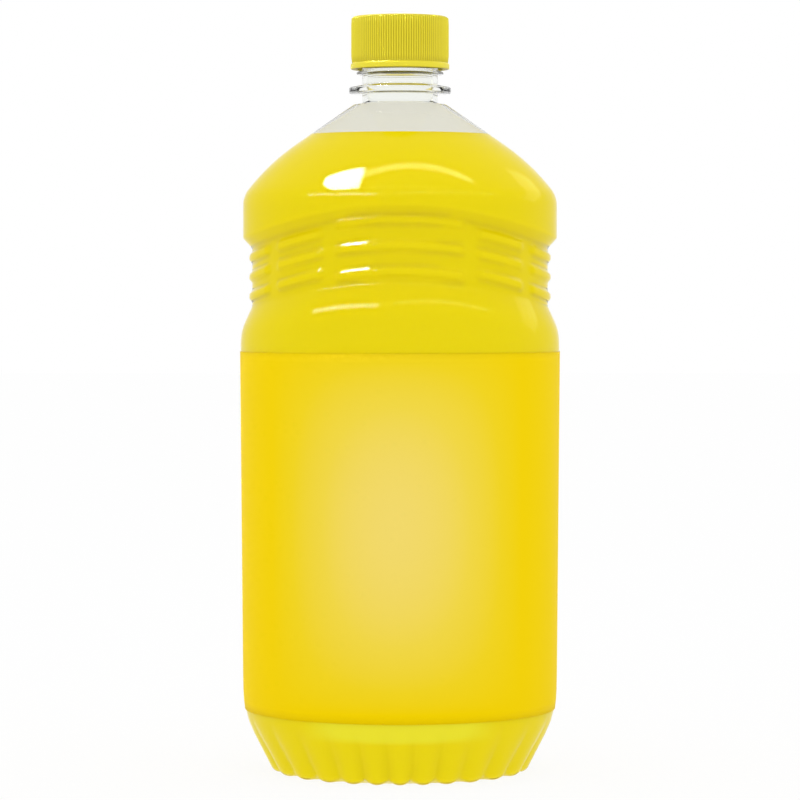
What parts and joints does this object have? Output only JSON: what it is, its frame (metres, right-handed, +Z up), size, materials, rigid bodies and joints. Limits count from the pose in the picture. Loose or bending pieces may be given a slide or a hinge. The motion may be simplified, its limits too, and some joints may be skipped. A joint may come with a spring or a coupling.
{
  "type": "floor cleaner bottle",
  "caption": "Clear blown bottle of yellow floor cleaner with an arched ribbed grip, scalloped foot, wrap-around label and knurled screw cap that unscrews.",
  "frame": {"origin": "middle of the standing ring, on the ground plane", "axes": "+Z up along the bottle's axis, -Y towards the front, +X to the right seen from the front"},
  "size_m": [0.104, 0.1041, 0.2449],
  "materials": {
    "clear_bottle": "clear blown plastic, smooth",
    "cap_plastic": "moulded, satin",
    "liner_foam": "matte",
    "label_film": "glossy film, paler towards its middle",
    "yellow_liquid": "clear yellow liquid"
  },
  "bodies": {
    "bottle_body": {"bottle": "clear_bottle", "label": "label_film", "cleaning_liquid": "yellow_liquid"},
    "liner_body": {"cap_liner": "liner_foam"},
    "cap_body": {"cap": "cap_plastic"}
  },
  "joints": [
    {"name": "cap_rise", "type": "slide", "parent": "bottle_body", "child": "liner_body", "axis": [0, 0, 1], "range_m": [0, 0.0056]},
    {"name": "cap_turn", "type": "hinge", "parent": "liner_body", "child": "cap_body", "pos_m": [0, 0, 0.2434], "axis": [0, 0, 1], "range_deg": [0, 630]}
  ],
  "couplings": [
    {"joint": "cap_rise", "follows": "cap_turn", "m_per_rad": 0.000506}
  ]
}
